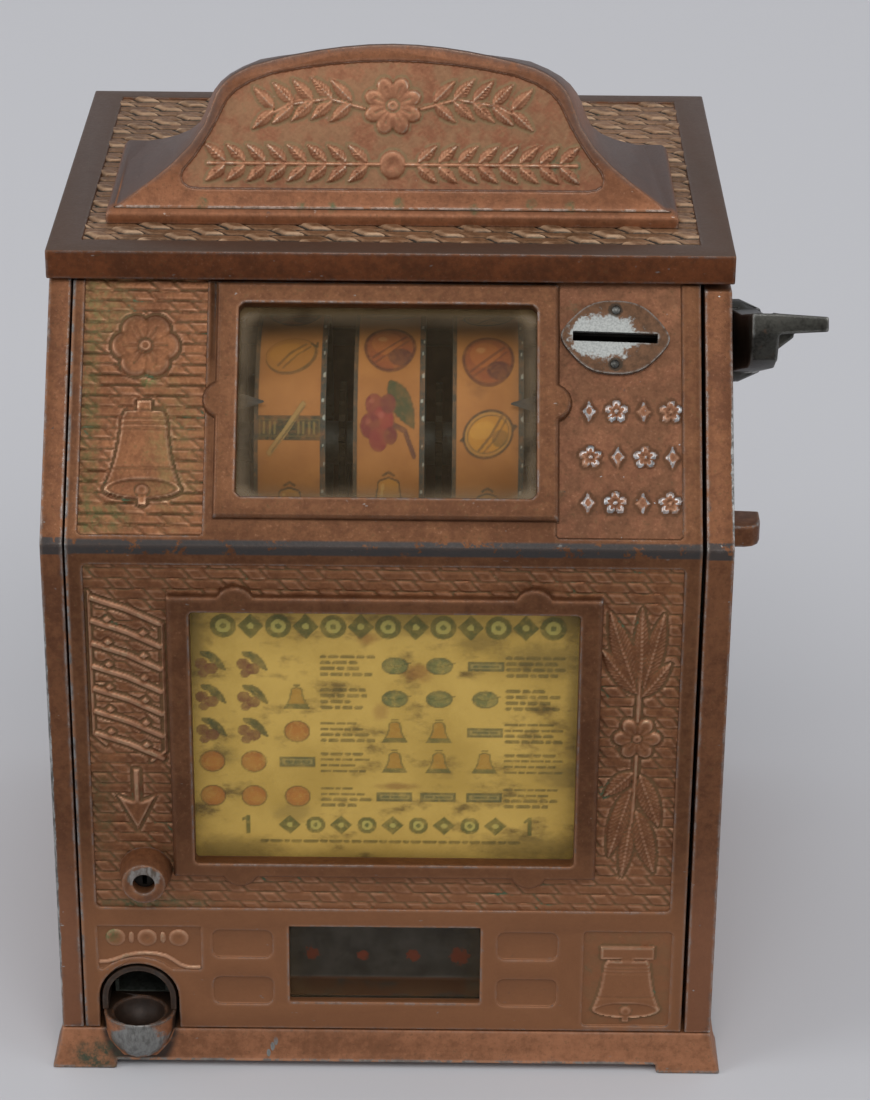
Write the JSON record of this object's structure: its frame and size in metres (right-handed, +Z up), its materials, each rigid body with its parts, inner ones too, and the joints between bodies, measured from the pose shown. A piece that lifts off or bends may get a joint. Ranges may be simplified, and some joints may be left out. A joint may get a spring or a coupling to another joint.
{
  "type": "gum vending machine",
  "caption": "Small counter gum vending machine with a sloping reel window, hinged front door, side lever, coin slot, gum cup and an arched marquee on the lid.",
  "frame": {"origin": "centre of the overall box at the floor, under the feet", "axes": "+X to the viewer's right as the machine faces the viewer, +Y from the front into the machine, +Z up"},
  "size_m": [0.2446, 0.2214, 0.318],
  "materials": {
    "copper_paint": "worn copper-bronze paint on a metal casting",
    "dark_copper_paint": "darkened copper-bronze paint",
    "dark_steel": "dark, handled steel",
    "bright_nickel": "worn nickel plating",
    "zinc_sheet": "zinc-plated sheet",
    "brass": "plain brass",
    "reel_paper": "aged printed paper strip",
    "card_paper": "aged printed card",
    "glass": "clear pane"
  },
  "bodies": {
    "case": {"back_plate": "copper_paint", "base_casting": "copper_paint", "cash_box": "zinc_sheet", "coin_chute": "zinc_sheet", "coin_display_tray": "dark_steel", "front_tie_rod": "dark_steel", "gum_chute": "zinc_sheet", "gum_magazine": "zinc_sheet", "gum_throat": "copper_paint", "gum_wheel_bracket": "zinc_sheet", "left_frame_plate": "zinc_sheet", "left_side_casting": "copper_paint", "lever_bush": "brass", "lever_return_spring": "dark_steel", "lid_casting": "dark_copper_paint", "lower_hinge_bracket": "zinc_sheet", "lower_tie_rod": "dark_steel", "marquee_casting": "copper_paint", "mechanism_floor_plate": "zinc_sheet", "reel_shaft": "dark_steel", "right_frame_plate": "zinc_sheet", "right_side_casting": "copper_paint", "side_cover_plate": "dark_copper_paint", "stop_arm_shaft": "dark_steel", "upper_hinge_bracket": "zinc_sheet", "upper_tie_rod": "dark_steel"},
    "door": {"award_card": "card_paper", "card_glass": "glass", "coin_entry_plate": "bright_nickel", "coin_guide": "zinc_sheet", "coin_window_glass": "glass", "door_casting": "copper_paint", "left_pointer": "dark_steel", "lock_barrel": "copper_paint", "reel_window_glass": "glass", "right_pointer": "dark_steel"},
    "lock": {"lock_cam": "zinc_sheet", "lock_plug": "dark_steel"},
    "lever": {"gum_crank": "dark_steel", "kicker_crank": "dark_steel", "lever_handle": "dark_steel", "lever_shaft": "dark_steel"},
    "gum_link": {"gum_link": "zinc_sheet"},
    "gum_wheel": {"gum_wheel": "brass", "gum_wheel_shaft": "dark_steel", "ratchet_wheel": "dark_steel"},
    "left_reel": {"left_reel_drum": "zinc_sheet", "left_reel_strip": "reel_paper", "left_star_wheel": "brass"},
    "middle_reel": {"middle_reel_drum": "zinc_sheet", "middle_reel_strip": "reel_paper", "middle_star_wheel": "brass"},
    "right_reel": {"right_reel_drum": "zinc_sheet", "right_reel_strip": "reel_paper", "right_star_wheel": "brass"},
    "left_stop_arm": {"left_stop_arm": "dark_steel"},
    "middle_stop_arm": {"middle_stop_arm": "dark_steel"},
    "right_stop_arm": {"right_stop_arm": "dark_steel"}
  },
  "joints": [
    {"name": "door_hinge", "type": "hinge", "parent": "case", "child": "door", "pos_m": [0.0706, -0.09605, 0], "axis": [0, 0, 1], "range_deg": [0, 90]},
    {"name": "lock_turn", "type": "hinge", "parent": "door", "child": "lock", "pos_m": [-0.0899, -0.10125, 0.0727], "axis": [0, 1, 0], "range_deg": [0, 90]},
    {"name": "lever_pull", "type": "hinge", "parent": "case", "child": "lever", "pos_m": [0.0931, 0.01075, 0.212], "axis": [1, 0, 0], "range_deg": [0, 44], "stiffness_Nm_per_rad": 0.3, "springref_deg": -45.84},
    {"name": "gum_link_pivot", "type": "hinge", "parent": "lever", "child": "gum_link", "pos_m": [-0.0631, -0.0141, 0.22204], "axis": [1, 0, 0], "range_deg": [-44, 0]},
    {"name": "gum_wheel_turn", "type": "hinge", "parent": "case", "child": "gum_wheel", "pos_m": [-0.0935, -0.03525, 0.066], "axis": [1, 0, 0], "range_deg": [-72, 0]},
    {"name": "left_reel_spin", "type": "hinge", "parent": "case", "child": "left_reel", "pos_m": [-0.0438, -0.03291, 0.19286], "axis": [1, 0, 0], "continuous": true},
    {"name": "middle_reel_spin", "type": "hinge", "parent": "case", "child": "middle_reel", "pos_m": [-0.013, -0.03291, 0.19286], "axis": [1, 0, 0], "continuous": true},
    {"name": "right_reel_spin", "type": "hinge", "parent": "case", "child": "right_reel", "pos_m": [0.0178, -0.03291, 0.19286], "axis": [1, 0, 0], "continuous": true},
    {"name": "left_stop_arm_lift", "type": "hinge", "parent": "case", "child": "left_stop_arm", "pos_m": [-0.0438, 0.01909, 0.16536], "axis": [1, 0, 0], "range_deg": [-3.2, 0]},
    {"name": "middle_stop_arm_lift", "type": "hinge", "parent": "case", "child": "middle_stop_arm", "pos_m": [-0.013, 0.01909, 0.16536], "axis": [1, 0, 0], "range_deg": [-3.2, 0]},
    {"name": "right_stop_arm_lift", "type": "hinge", "parent": "case", "child": "right_stop_arm", "pos_m": [0.0178, 0.01909, 0.16536], "axis": [1, 0, 0], "range_deg": [-3.2, 0]}
  ],
  "couplings": [
    {"joint": "gum_link_pivot", "follows": "lever_pull", "ratio": -1},
    {"joint": "gum_wheel_turn", "follows": "lever_pull", "ratio": -1.6364}
  ]
}
